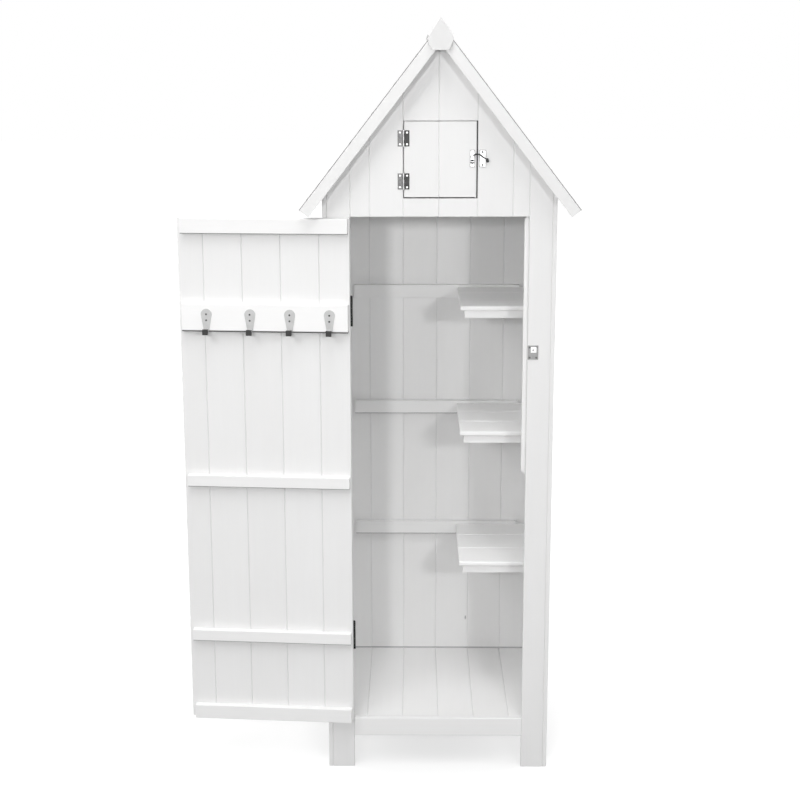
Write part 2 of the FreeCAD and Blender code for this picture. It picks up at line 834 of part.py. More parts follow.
def leaf_screw_places(axis_x, radius, leaf_width, side, centres, offsets):
    """Screws down the middle of a leaf, as (x, z, face) on its front."""
    x = axis_x + side * (radius + hinge_knuckle_gap + leaf_width / 2.0)
    face = front - hinge_leaf_thickness
    places = []
    for centre in centres.values():
        places += [(x, centre + offset, face) for offset in offsets]
    return places


# Latches

def arch_point(pivot, scale, radius, angle_deg):
    """A point on a circle about the arch's own centre."""
    angle = math.radians(angle_deg)
    x = pivot[0] + scale * latch_arch_centre[0] + radius * math.cos(angle)
    z = pivot[1] + scale * latch_arch_centre[1] + radius * math.sin(angle)
    return (x, z)


def latch_arm(pivot, scale):
    """A flat arm with an eye, an arch over the peg and a straight end for the tip."""
    y0, y1 = latch_arm_front, latch_arm_back
    half = latch_arm_width / 2.0
    radius = scale * latch_arch_radius
    outline = []
    steps = 24
    for index in range(steps + 1):
        share = index / steps
        angle = latch_arch_start_deg + share * (latch_arch_end_deg - latch_arch_start_deg)
        outline.append(arch_point(pivot, scale, radius + half, angle))
    end_x = pivot[0] + scale * latch_arm_end[0]
    end_z = pivot[1] + scale * latch_arm_end[1]
    outline += [(end_x, end_z + half), (end_x, end_z - half)]
    for index in range(steps + 1):
        share = index / steps
        angle = latch_arch_end_deg + share * (latch_arch_start_deg - latch_arch_end_deg)
        outline.append(arch_point(pivot, scale, radius - half, angle))
    arm = prism_xz(outline, y0, y1)
    eye = cylinder_y(pivot[0], pivot[1], latch_eye_radius, y0, y1)
    bore = cylinder_y(pivot[0], pivot[1], latch_rivet_radius + latch_rivet_clearance, y0 - 1, y1 + 1)
    return arm.fuse(eye).cut(bore).removeSplitter()


def latch_tip(pivot, scale):
    """The dark drop-shaped finger tip at the end of the arm."""
    x = pivot[0] + scale * latch_arm_end[0]
    z = pivot[1] + scale * latch_arm_end[1]
    spare = (latch_tip_thickness - latch_arm_thickness) / 2.0
    y0, y1 = latch_arm_front - spare, latch_arm_back + spare
    r = latch_tip_radius
    low = z + latch_arm_width / 2.0 - latch_tip_length + r
    round_end = cylinder_y(x + r, low, r, y0, y1)
    neck = prism_xz([(x, low), (x + 2.0 * r, low), (x + r * 1.5, low - r + latch_tip_length),
                     (x, low - r + latch_tip_length)], y0, y1)
    return round_end.fuse(neck).removeSplitter()


def latch_plate(pivot, centre, width, height):
    """Plate on the door with the rivet that the arm swings on."""
    plate = block(pivot[0] - width / 2.0, pivot[0] + width / 2.0, latch_plate_front, front,
                  centre - height / 2.0, centre + height / 2.0)
    head_back = latch_arm_front - latch_arm_end_play
    rivet = cylinder_y(pivot[0], pivot[1], latch_rivet_radius, head_back, latch_plate_front)
    collar = cylinder_y(pivot[0], pivot[1], latch_rivet_head_radius,
                        latch_arm_back + latch_arm_end_play, latch_plate_front)
    head = cylinder_y(pivot[0], pivot[1], latch_rivet_head_radius,
                      head_back - latch_rivet_head_thickness, head_back)
    return plate.fuse([rivet, collar, head]).removeSplitter()


def latch_keeper(pivot, scale, x, centre, width, height):
    """Plate on the frame with the peg that the arch of the arm rests on."""
    plate = block(x - width / 2.0, x + width / 2.0, latch_plate_front, front,
                  centre - height / 2.0, centre + height / 2.0)
    reach = scale * latch_arch_radius - latch_arm_width / 2.0 - latch_peg_gap - latch_peg_radius
    peg_x, peg_z = arch_point(pivot, scale, reach, latch_peg_angle_deg)
    peg = cylinder_y(peg_x, peg_z, latch_peg_radius, latch_plate_front - latch_peg_length,
                     latch_plate_front)
    return plate.fuse(peg).removeSplitter()


def plate_screw_places(xs, centre, height):
    z = height / 2.0 - latch_screw_inset
    face = front - latch_plate_thickness
    return [(x, centre + sign * z, face) for x in xs for sign in (-1, 1)]


def at_places(places, inward, maker):
    return [maker(x, z, face, inward) for x, z, face in places]


# Where every screw goes
frame_screws = leaf_screw_places(door_axis_x, door_hinge_knuckle_radius, door_hinge_leaf_width, -1,
                                 door_hinge_centres, door_hinge_screws)
frame_screws += leaf_screw_places(gable_axis_x, gable_hinge_knuckle_radius, gable_hinge_leaf_width, -1,
                                  gable_hinge_centres, gable_hinge_screws)
keeper_screw_shift = door_keeper_width / 2.0 - latch_screw_inset
frame_screws += plate_screw_places([door_keeper_x - keeper_screw_shift, door_keeper_x + keeper_screw_shift],
                                   door_latch_height, door_keeper_height)
frame_screws += plate_screw_places([gable_keeper_x], gable_latch_height, gable_latch_plate_height)
door_screws = leaf_screw_places(door_axis_x, door_hinge_knuckle_radius, door_hinge_leaf_width, 1,
                                door_hinge_centres, door_hinge_screws)
door_screws += plate_screw_places([door_latch_pivot_x], door_latch_height, door_latch_plate_height)
gable_door_screws = leaf_screw_places(gable_axis_x, gable_hinge_knuckle_radius, gable_hinge_leaf_width, 1,
                                      gable_hinge_centres, gable_hinge_screws)
gable_door_screws += plate_screw_places([gable_latch_pivot_x], gable_latch_height, gable_latch_plate_height)
frame_holes = at_places(frame_screws, 1, screw_hole)
door_holes = at_places(door_screws, 1, screw_hole)
gable_door_holes = at_places(gable_door_screws, 1, screw_hole)
coat_hook_holes = at_places(coat_hook_screw_places(), -1, screw_hole)

os.makedirs("parts", exist_ok=True)

# Frame and walls
roof_cut = under_roof(roof_underside, front, back, ground_clearance)
post_right = corner_post(roof_cut)
save("post_front_left", cut_with(mirrored(post_right), frame_holes))
save("post_front_right", cut_with(post_right, frame_holes))
save("post_back_left", mirrored(flipped_to_back(post_right)))
save("post_back_right", flipped_to_back(post_right))
save("back_wall_boards", back_wall())
save("side_wall_left_boards", mirrored(side_wall_right()))
save("side_wall_right_boards", side_wall_right())
save("floor_boards", floor())
save("floor_bearers", floor_bearers())
save("apron", apron())
save("back_battens", back_battens())
save("door_stop_strip", stop_strip())
save("gable_boards", cut_with(front_gable(), frame_holes))
save("lintel_batten", lintel_batten())
save("gable_door_jambs", cut_with(gable_door_jambs(), frame_holes))
save("loft_floor_boards", loft_floor())

# Roof
save("roof_right_boards", roof_boards_right())
save("roof_left_boards", mirrored(roof_boards_right()))
save("roof_felt", [felt_right()] + mirrored([felt_right()]))
save("rafters", rafters_right() + mirrored(rafters_right()))
save("ridge_batten", ridge_batten())
save("wall_plates", [wall_plate_right()] + mirrored([wall_plate_right()]))
save("barge_front_right", [barge_right(roof_front)])
save("barge_front_left", mirrored([barge_right(roof_front)]))
back_barge_start = roof_back - barge_thickness
save("barge_back_right", [barge_right(back_barge_start)])
save("barge_back_left", mirrored([barge_right(back_barge_start)]))
save("ridge_caps", [ridge_cap_right()] + mirrored([ridge_cap_right()]))
save("finial_plate", finial())

# Shelves
for level, shelf_top in shelf_tops.items():
    save("shelf_" + level + "_boards", shelf_boards(shelf_top))
    save("shelf_" + level + "_battens", shelf_battens(shelf_top))
save("shelf_cleats", shelf_cleats())

# Main door
hook_batten = door_batten(hook_board_bottom, hook_board_height, hook_board_inset)
hook_places = coat_hook_places()
save("door_boards", opened(cut_with(door_boards(), door_holes)))
save("door_battens", opened(cut_with(door_battens(), door_holes)))
save("hook_board", opened(cut_with([hook_batten], coat_hook_holes + door_holes)))
save("coat_hooks", opened(cut_with([coat_hook(x, y, z) for x, y, z in hook_places], coat_hook_holes)))
save("coat_hook_caps", opened([coat_hook_cap(x, y, z) for x, y, z in hook_places]))
save("coat_hook_screws", opened(at_places(coat_hook_screw_places(), -1, screw)))
save("door_hinge_leaves", opened(cut_with(door_hinge_leaves(1, (1, 3)), door_holes)))
save("door_latch_plate", opened(cut_with([latch_plate(
    door_pivot, door_latch_height, door_latch_plate_width, door_latch_plate_height)], door_holes)))
save("door_screws", opened(at_places(door_screws, 1, screw)))

# Ironwork of the frame
save("post_hinge_leaves", cut_with(door_hinge_leaves(-1, (0, 2, 4)), frame_holes))
save("door_hinge_pins", [hinge_pin(door_axis_x, door_axis_y, centre, door_hinge_height,
                                   door_hinge_pin_radius, door_hinge_knuckle_radius)
                         for centre in door_hinge_centres.values()])
save("gable_hinge_leaves", cut_with(gable_hinge_leaves(-1, (0, 2, 4)), frame_holes))
save("gable_hinge_pins", [hinge_pin(gable_axis_x, gable_axis_y, centre, gable_hinge_height,
                                    gable_hinge_pin_radius, gable_hinge_knuckle_radius)
                          for centre in gable_hinge_centres.values()])
save("post_keeper", cut_with([latch_keeper(door_pivot, door_latch_scale, door_keeper_x, door_latch_height,
                                           door_keeper_width, door_keeper_height)], frame_holes))
save("gable_keeper", cut_with([latch_keeper(gable_pivot, gable_latch_scale, gable_keeper_x,
                                            gable_latch_height, gable_keeper_width,
                                            gable_latch_plate_height)], frame_holes))
save("frame_screws", at_places(frame_screws, 1, screw))

# Small gable door
save("gable_door_boards", cut_with(gable_door_boards(), gable_door_holes))
save("gable_door_battens", cut_with(gable_door_battens(), gable_door_holes))
save("gable_door_hinge_leaves", cut_with(gable_hinge_leaves(1, (1, 3)), gable_door_holes))
save("gable_latch_plate", cut_with([latch_plate(gable_pivot, gable_latch_height,
                                                gable_latch_plate_width, gable_latch_plate_height)],
                                   gable_door_holes))
save("gable_door_screws", at_places(gable_door_screws, 1, screw))

# Latch arms: the small door's rests over its peg, the main door's hangs from its rivet
save("gable_latch_arm", [latch_arm(gable_pivot, gable_latch_scale)])
save("gable_latch_tip", [latch_tip(gable_pivot, gable_latch_scale)])
hanging = []
for shape in (latch_arm(door_pivot, door_latch_scale), latch_tip(door_pivot, door_latch_scale)):
    shape.rotate(FreeCAD.Vector(door_pivot[0], 0, door_pivot[1]), Y_AXIS, door_latch_hang_angle)
    hanging.append(shape)
save("door_latch_arm", opened(hanging[:1]))
save("door_latch_tip", opened(hanging[1:]))
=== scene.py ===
import math

import bpy
from mathutils import Matrix, Vector


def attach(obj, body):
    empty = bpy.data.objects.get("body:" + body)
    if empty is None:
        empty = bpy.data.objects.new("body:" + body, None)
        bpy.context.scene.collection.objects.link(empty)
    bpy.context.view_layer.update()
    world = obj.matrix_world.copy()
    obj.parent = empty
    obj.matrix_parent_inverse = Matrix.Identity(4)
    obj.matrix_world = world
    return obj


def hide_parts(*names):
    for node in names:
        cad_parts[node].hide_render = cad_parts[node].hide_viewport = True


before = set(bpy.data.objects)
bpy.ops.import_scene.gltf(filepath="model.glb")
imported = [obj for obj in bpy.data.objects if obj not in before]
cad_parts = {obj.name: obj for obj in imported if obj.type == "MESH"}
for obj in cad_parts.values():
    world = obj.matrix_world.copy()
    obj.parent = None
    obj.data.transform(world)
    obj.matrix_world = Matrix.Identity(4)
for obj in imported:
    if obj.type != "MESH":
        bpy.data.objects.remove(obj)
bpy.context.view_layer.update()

# Joint lines between the matched boards, in metres
WALL_JOINTS = [-0.1738, -0.0869, 0.0, 0.0869, 0.1738]
FLOOR_JOINTS = [-0.1728, -0.0864, 0.0, 0.0864, 0.1728]
GABLE_JOINTS = [-0.159, -0.0826, -0.002, 0.0853, 0.166]
DOOR_JOINTS = [-0.13, -0.0409, 0.0482, 0.1373]
SHELF_JOINTS = [-0.007, 0.096]
ROOF_JOINTS = [0.088, 0.176, 0.264, 0.352, 0.44]

# The roof's pitch and peak, and the main door's pin and swing
SLOPE = math.radians(52.2)
ROOF_PEAK = 1.77784
DOOR_PIN = Vector((-0.2019, -0.2235, 0.0))
DOOR_SWING = math.radians(184.0)

# Where the ironwork's screws sit: heights, columns and the front faces of their plates
PLATE_FACE = -0.2219
HOOK_PLATE_FACE = -0.1922
HINGE_HEIGHTS = [1.1113, 1.1353, 1.1593, 0.3208, 0.3448, 0.3688]
GABLE_HINGE_HEIGHTS = [1.5145, 1.5405, 1.4185, 1.4445]
POST_HINGE_X, DOOR_HINGE_X = -0.2174, -0.1867
GABLE_FRAME_HINGE_X, GABLE_DOOR_HINGE_X = -0.08975, -0.07395
KEEPER_COLUMNS, KEEPER_HEIGHTS = (0.2084, 0.22395), (1.026, 1.050)
DOOR_LATCH_X, DOOR_LATCH_HEIGHTS = 0.1866, (1.0235, 1.0525)
GABLE_LATCH_X, GABLE_KEEPER_X = 0.0728, 0.0957
GABLE_LATCH_MIDDLE, GABLE_LATCH_HEIGHTS = 1.4825, (1.468, 1.497)
HOOK_COLUMNS, HOOK_HEIGHTS = (-0.15456, -0.06303, 0.0289, 0.13004), (1.1155, 1.1295)

# Middles of the keeper's raised pad and of the small latch's round head
PAD_MIDDLE = (0.2176, -0.22155, 1.0443)
BUTTON_MIDDLE = (GABLE_LATCH_X, -0.2215, 1.4753)

# One screw: head, shank and point, with the recess in the head
HEAD_RADIUS, HEAD_HEIGHT = 0.0023, 0.0012
SHANK_SHARE, SHANK_LENGTH = 0.62, 0.0060
POINT_SHARE, POINT_LENGTH = 0.15, 0.0015
RECESS_SIZE = (0.0026, 0.0012, 0.0006)

X, Y, Z = 0, 1, 2


class Wire:
    """One output of a finish. Arithmetic on it adds Math nodes."""

    def __init__(self, finish, socket):
        self.finish = finish
        self.socket = socket

    def __add__(self, other):
        return self.finish.maths("ADD", self, other)

    def __radd__(self, other):
        return self.finish.maths("ADD", other, self)

    def __sub__(self, other):
        return self.finish.maths("SUBTRACT", self, other)

    def __rsub__(self, other):
        return self.finish.maths("SUBTRACT", other, self)

    def __mul__(self, other):
        return self.finish.maths("MULTIPLY", self, other)

    def __rmul__(self, other):
        return self.finish.maths("MULTIPLY", other, self)


class Finish:
    """A finish under construction, of a surface or of the world."""

    def __init__(self, name, world=None):
        self.material = world or bpy.data.materials.new(name)
        self.material.use_nodes = True
        self.tree = self.material.node_tree
        self.tree.nodes.clear()

    def node(self, kind, settings=None, sockets=None, output=0):
        """Any node: its type, its settings, then the values or links of its sockets."""
        made = self.tree.nodes.new(kind)
        for key, value in (settings or {}).items():
            setattr(made, key, value)
        for key, value in (sockets or {}).items():
            if isinstance(value, Wire):
                self.tree.links.new(value.socket, made.inputs[key])
            else:
                made.inputs[key].default_value = value
        return Wire(self, made.outputs[output]) if made.outputs else made

    def place(self, scale=(1, 1, 1), turn=(0, 0, 0), shift=(0, 0, 0)):
        """Object coordinates, scaled, turned and shifted."""
        where = self.node("ShaderNodeTexCoord", output="Object")
        return self.node("ShaderNodeMapping", {}, {
            "Vector": where, "Location": shift, "Rotation": turn, "Scale": scale})

    def axis(self, vector, index):
        return self.node("ShaderNodeSeparateXYZ", {}, {0: vector}, index)

    def noise(self, vector, scale, detail=2.0, roughness=0.5):
        return self.node("ShaderNodeTexNoise", {}, {
            "Vector": vector, "Scale": scale, "Detail": detail, "Roughness": roughness})

    def chance(self, value):
        """A steady random number for each whole value."""
        return self.node(
            "ShaderNodeTexWhiteNoise", {"noise_dimensions": "1D"}, {"W": value}, "Value")

    def length(self, vector):
        return self.node("ShaderNodeVectorMath", {"operation": "LENGTH"}, {0: vector}, "Value")

    def maths(self, operation, first, second=0.0):
        return self.node("ShaderNodeMath", {"operation": operation}, {0: first, 1: second})

    def between(self, value, low, high, to_low=0.0, to_high=1.0):
        return self.node("ShaderNodeMapRange", {"clamp": True}, {
            "Value": value, "From Min": low, "From Max": high, "To Min": to_low, "To Max": to_high})

    def blend(self, share, first, second):
        """From the first colour to the second by a share."""
        return self.node("ShaderNodeMix", {"data_type": "RGBA"}, {0: share, 6: first, 7: second}, 2)

    def bump(self, height, strength, distance):
        return self.node("ShaderNodeBump", {}, {
            "Height": height, "Strength": strength, "Distance": distance})

    def finish(self, **sockets):
        inputs = {name.replace("_", " "): value for name, value in sockets.items()}
        shader = self.node("ShaderNodeBsdfPrincipled", {}, inputs)
        self.node("ShaderNodeOutputMaterial", {}, {"Surface": shader})
        return self.material


def grey(value, warmth=0.0):
    """A grey, or a faintly warm one."""
    return (value * (1 + warmth), value, value * (1 - warmth), 1.0)


def joint_mask(finish, reach, joints, half_width):
    """One on the joint lines and zero on the boards between them."""
    nearest = None
    for joint in joints:
        distance = finish.maths("ABSOLUTE", reach - joint)
        nearest = distance if nearest is None else finish.maths("MINIMUM", nearest, distance)
    return finish.between(nearest, half_width * 0.45, half_width, 1.0, 0.0)


def board_number(finish, reach, joints):
    """How many joint lines lie before a point."""
    number = 0.0
    for joint in joints:
        number = finish.maths("GREATER_THAN", reach, joint) + number
    return number


def white_paint(name, along, across=None, joints=(), turn=(0, 0, 0), shift=(0, 0, 0), tone=0.88,
                groove_and_shadow_tone=0.74, groove_and_shadow_half=0.0009, shadow_lines=(), shadow_line_tone=0.16, shadow_line_half=0.0020,
                knot=None, inner_face=None):
    """Satin white paint on softwood: the grain shows through, and each board has its own tone.

    Joints are the seams between boards; on the jambs they mark the small door's gaps, painted dark
    as shade. Shadow lines are heights where a fine dark line of painted shadow runs.
    With an inner face, the shadow lines and the knot are on that side of the boards alone.
    """
    finish = Finish(name)
    still = finish.place(turn=turn, shift=shift)
    stretch = [300.0, 300.0, 300.0]
    stretch[along] = 11.0
    grain = finish.noise(finish.place(tuple(stretch), turn, shift), 1.0, 3.0, 0.55)
    coarse = tuple(value * 0.25 for value in stretch)
    brush = finish.noise(finish.place(coarse, turn, shift), 1.0, 2.0, 0.5)
    cloud = finish.noise(still, 7.0, 2.0, 0.5)
    share = (grain - 0.5) * 0.45 + (brush - 0.5) * 0.45 + (cloud - 0.5) * 0.6 + 0.40
    if joints:
        reach = finish.axis(still, across)
        board = board_number(finish, reach, joints)
        share = share + (finish.chance(board + 11.0) - 0.5) * 0.5
        seam_and_shadow = joint_mask(finish, reach, joints, groove_and_shadow_half)
    paint = finish.blend(finish.between(share, 0.0, 1.0),
                         grey(tone * 1.012, 0.001), grey(tone * 0.965, 0.004))
    # Dark joint lines between boards; on the jambs the same lines are painted shadow in the door's
    # gaps.
    if joints:
        paint = finish.blend(seam_and_shadow, paint, grey(groove_and_shadow_tone))
    side = 1.0
    if inner_face:
        side = finish.between(finish.axis(still, Y), inner_face, inner_face + 0.002, 1.0, 0.0)
    # Painted shadow: a fine dark line at each shadow height, as under a batten's lower edge.
    if shadow_lines:
        line = joint_mask(finish, finish.axis(still, Z), shadow_lines, shadow_line_half) * side
        paint = finish.blend(line, paint, grey(shadow_line_tone))
    if knot:
        spot = finish.place((1.0, 0.0, 0.35), shift=(-knot[0], 0.0, -knot[1] * 0.35))
        away = finish.length(spot)
        speck = finish.between(away, 0.0010, 0.0026, 0.75, 0.0) * side
        paint = finish.blend(speck, paint, grey(0.25))
    pores = finish.between(grain, 0.60, 0.78)
    height = grain * 0.35 + brush * 0.65 - pores * 0.25
    return finish.finish(
        Base_Color=paint, Roughness=finish.between(brush + cloud, 0.6, 1.4, 0.32, 0.44),
        Normal=finish.bump(height, 0.14, 0.0006))


def roofing_felt():
    """Dark mineral felt with fine granules."""
    finish = Finish("roofing_felt")
    granules = finish.noise(finish.place(), 620.0, 2.0, 0.7)
    cloud = finish.noise(finish.place(), 14.0, 3.0, 0.5)
    share = finish.between(granules, 0.35, 0.68) * 0.75 + cloud * 0.3
    return finish.finish(
        Base_Color=finish.blend(share, grey(0.10), grey(0.30, 0.01)),
        Roughness=finish.between(granules, 0.3, 0.7, 0.78, 0.95),
        Normal=finish.bump(granules, 0.6, 0.0008), Specular_IOR_Level=0.25)


def bare_steel(name, value, low_rough=0.28, high_rough=0.42, rims=(), rim_shade_tone=0.12):
    """Plated steel with faint rolling marks.

    Rims are plates whose edge gets a dark band of painted shade, each given as x, z, half width and
    half height.
    """
    finish = Finish(name)
    streaks = finish.noise(finish.place((260, 260, 2600)), 1.0, 2.0, 0.5)
    cloud = finish.noise(finish.place(), 260.0, 3.0, 0.6)
    share = finish.between(streaks * 0.5 + cloud * 0.5, 0.3, 0.7)
    steel = finish.blend(share, grey(value * 1.1), grey(value * 0.8))
    beyond = 1.0
    for x, z, half_width, half_height in rims:
        place = finish.place()
        over = finish.maths("ABSOLUTE", finish.axis(place, X) - x) - half_width
        under = finish.maths("ABSOLUTE", finish.axis(place, Z) - z) - half_height
        beyond = finish.maths("MINIMUM", finish.maths("MAXIMUM", over, under), beyond)
    # Painted shade: a dark band just inside each plate's edge.
    if rims:
        steel = finish.blend(finish.between(beyond, -0.0018, -0.0006), steel, grey(rim_shade_tone))
    return finish.finish(
        Base_Color=steel, Metallic=1.0,
        Roughness=finish.between(cloud, 0.3, 0.7, low_rough, high_rough),
        Normal=finish.bump(streaks, 0.12, 0.0002))


def hinge_steel(name, value, axis_x, knuckle, knuckle_highlight_tone):
    """Dark coated steel, with a painted highlight: bright bare metal along the knuckles."""
    finish = Finish(name)
    cloud = finish.noise(finish.place(), 190.0, 3.0, 0.6)
    fine = finish.noise(finish.place(), 1500.0, 2.0, 0.5)
    coat = finish.blend(finish.between(cloud, 0.40, 0.75), grey(value), grey(value * 1.9))
    away = finish.maths("ABSOLUTE", finish.axis(finish.place(), X) - axis_x)
    # Painted highlight: a bright metallic band along the knuckle line.
    knuckle_highlight = finish.between(away, knuckle * 0.15, knuckle * 0.9, 1.0, 0.0)
    return finish.finish(
        Base_Color=finish.blend(knuckle_highlight, coat, grey(knuckle_highlight_tone)), Metallic=knuckle_highlight * 0.6 + 0.4,
        Roughness=finish.between(cloud, 0.3, 0.7, 0.32, 0.48),
        Normal=finish.bump(fine, 0.15, 0.0002))


def grey_enamel():
    """Light grey enamel of the coat hooks."""
    finish = Finish("grey_enamel")
    cloud = finish.noise(finish.place(), 70.0, 3.0, 0.5)
    peel = finish.noise(finish.place(), 900.0, 1.0, 0.5)
    return finish.finish(
        Base_Color=finish.blend(finish.between(cloud, 0.35, 0.7), grey(0.60), grey(0.54)),
        Roughness=finish.between(cloud, 0.3, 0.7, 0.30, 0.40),
        Normal=finish.bump(peel, 0.06, 0.0003), Coat_Weight=0.2)


def black_plastic():
    """Fine-grained black plastic of the hook caps and latch tips."""
    finish = Finish("black_plastic")
    grain = finish.noise(finish.place(), 1900.0, 2.0, 0.5)
    cloud = finish.noise(finish.place(), 120.0, 2.0, 0.5)
    return finish.finish(
        Base_Color=finish.blend(finish.between(cloud, 0.3, 0.7), grey(0.012), grey(0.022)),
        Roughness=finish.between(grain, 0.3, 0.7, 0.5, 0.66),
        Normal=finish.bump(grain, 0.25, 0.0002))


def dress(material, *names):
    """One finish on each named CAD node."""
    for name in names:
        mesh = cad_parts[name].data
        mesh.materials.clear()
        mesh.materials.append(material)


door_turn = (0, 0, DOOR_SWING)
door_shift = tuple(DOOR_PIN - Matrix.Rotation(DOOR_SWING, 3, "Z") @ DOOR_PIN)
# The dark line at height 0.129, where the floor meets the back wall, is painted shadow.
dress(white_paint("wall_paint", Z, X, WALL_JOINTS, groove_and_shadow_tone=0.82, shadow_lines=[0.1290], shadow_line_tone=0.45,
                  knot=(0.081, 0.2155), inner_face=0.201),
      "back_wall_boards")
dress(white_paint("side_wall_paint", Z, Y, WALL_JOINTS),
      "side_wall_left_boards", "side_wall_right_boards")
dress(white_paint("gable_paint", Z, X, GABLE_JOINTS, tone=0.845, groove_and_shadow_tone=0.805),
      "gable_boards", "gable_door_boards")
dress(white_paint("door_paint", Z, X, DOOR_JOINTS, door_turn, door_shift, tone=0.85, groove_and_shadow_tone=0.715),
      "door_boards")
dress(white_paint("floor_paint", Y, X, FLOOR_JOINTS, tone=0.90, groove_and_shadow_tone=0.76),
      "floor_boards", "loft_floor_boards")
# The shelves' paint is lighter than the other boards: painted light, standing in for light from
# above on the shelf tops.
dress(white_paint("shelf_paint_with_painted_light", X, Y, SHELF_JOINTS, tone=0.97),
      "shelf_lower_boards", "shelf_middle_boards", "shelf_upper_boards")
dress(white_paint("upright_paint", Z, tone=0.84), "post_front_left", "post_front_right",
      "post_back_left", "post_back_right", "door_stop_strip")
# On the jambs, near-black lines where the small door's side gaps show: painted shadow.
dress(white_paint("jamb_gap_shadow_paint", Z, X, [-0.0826, 0.0842], groove_and_shadow_tone=0.05, groove_and_shadow_half=0.0032),
      "gable_door_jambs")
# The finial's paint is darker than the other white boards: painted shade.
dress(white_paint("finial_paint_with_painted_shade", Z, tone=0.75), "finial_plate")
dress(white_paint("rail_paint", X), "apron", "lintel_batten", "floor_bearers", "gable_door_battens")
# Painted shadow: a fine dark line along the lower edge of the two lower back battens.
dress(white_paint("back_rail_paint", X, shadow_lines=[0.4603, 0.7918], shadow_line_tone=0.12), "back_battens")
# Painted shadow: a fine dark line along the lower edge of three door battens.
dress(white_paint("door_rail_paint", X, turn=door_turn, shift=door_shift,
                  shadow_lines=[0.3295, 0.7165, 1.3145], shadow_line_tone=0.20), "door_battens")
# Painted shadow: a near-black line along the hook board's lower edge.
dress(white_paint("hook_board_paint", X, turn=door_turn, shift=door_shift, tone=0.93,
                  shadow_lines=[1.0885], shadow_line_tone=0.02, shadow_line_half=0.0042), "hook_board")
dress(white_paint("lengthwise_paint", Y), "ridge_caps", "ridge_batten", "wall_plates",
      "shelf_cleats", "shelf_lower_battens", "shelf_middle_battens", "shelf_upper_battens")
for side, sign in (("right", 1), ("left", -1)):
    lean = (0, -sign * SLOPE, 0)
    lift = tuple(-(Matrix.Rotation(-sign * SLOPE, 3, "Y") @ Vector((0, 0, ROOF_PEAK))))
    joints = [sign * joint for joint in ROOF_JOINTS]
    dress(white_paint(side + "_roof_paint", Y, X, joints, lean, lift), "roof_" + side + "_boards")
    dress(white_paint(side + "_barge_paint", X, turn=lean, shift=lift, tone=0.80),
          "barge_front_" + side, "barge_back_" + side)
dress(white_paint("rafter_paint", X), "rafters")
dress(roofing_felt(), "roof_felt")
dress(bare_steel("keeper_zinc", 0.30, 0.34, 0.5), "post_keeper", "door_latch_plate")
latch_shaded_rims = [(GABLE_LATCH_X, GABLE_LATCH_MIDDLE, 0.0055, 0.019),
              (GABLE_KEEPER_X, GABLE_LATCH_MIDDLE, 0.0075, 0.019)]
dress(bare_steel("latch_zinc", 0.92, 0.36, 0.5, rims=latch_shaded_rims),
      "gable_keeper", "gable_latch_plate")
# The latch arms are near-black steel: painted shade and dark reflection standing in for their
# shaded look.
dress(bare_steel("arm_steel_painted_shade", 0.045), "door_latch_arm", "gable_latch_arm")
bright_screw = bare_steel("bright_screw_steel", 0.85)
dark_screw = bare_steel("dark_screw_steel", 0.10)
dress(hinge_steel("door_hinge_black", 0.016, -0.2019, 0.0032, 0.03),
      "door_hinge_leaves", "post_hinge_leaves", "door_hinge_pins")
dress(hinge_steel("gable_hinge_grey", 0.14, -0.08185, 0.0023, 0.55),
      "gable_hinge_leaves", "gable_hinge_pins")
dress(hinge_steel("gable_hinge_dark", 0.03, -0.08185, 0.0023, 0.45), "gable_door_hinge_leaves")
dress(grey_enamel(), "coat_hooks")
dress(black_plastic(), "coat_hook_caps", "door_latch_tip", "gable_latch_tip")


# Screws, keeper pad, round head of the small latch, and felt nails

def fresh():
    """Object mode with nothing selected."""
    if bpy.context.object and bpy.context.object.mode != "OBJECT":
        bpy.ops.object.mode_set(mode="OBJECT")
    bpy.ops.object.select_all(action="DESELECT")


def pick_faces(piece, test):
    """In edit mode, only the faces that pass the test are selected."""
    bpy.ops.object.mode_set(mode="EDIT")
    bpy.ops.mesh.select_all(action="DESELECT")
    bpy.ops.mesh.select_mode(type="FACE")
    bpy.ops.object.mode_set(mode="OBJECT")
    for face in piece.data.polygons:
        face.select = test(face)
    bpy.ops.object.mode_set(mode="EDIT")


def settle(piece, name, material):
    """Back to object mode, place in the mesh, material on."""
    bpy.ops.object.mode_set(mode="OBJECT")
    bpy.ops.object.transform_apply(location=True, rotation=True, scale=True)
    piece.name = name
    piece.data.name = name
    piece.data.materials.clear()
    piece.data.materials.append(material)
    return piece


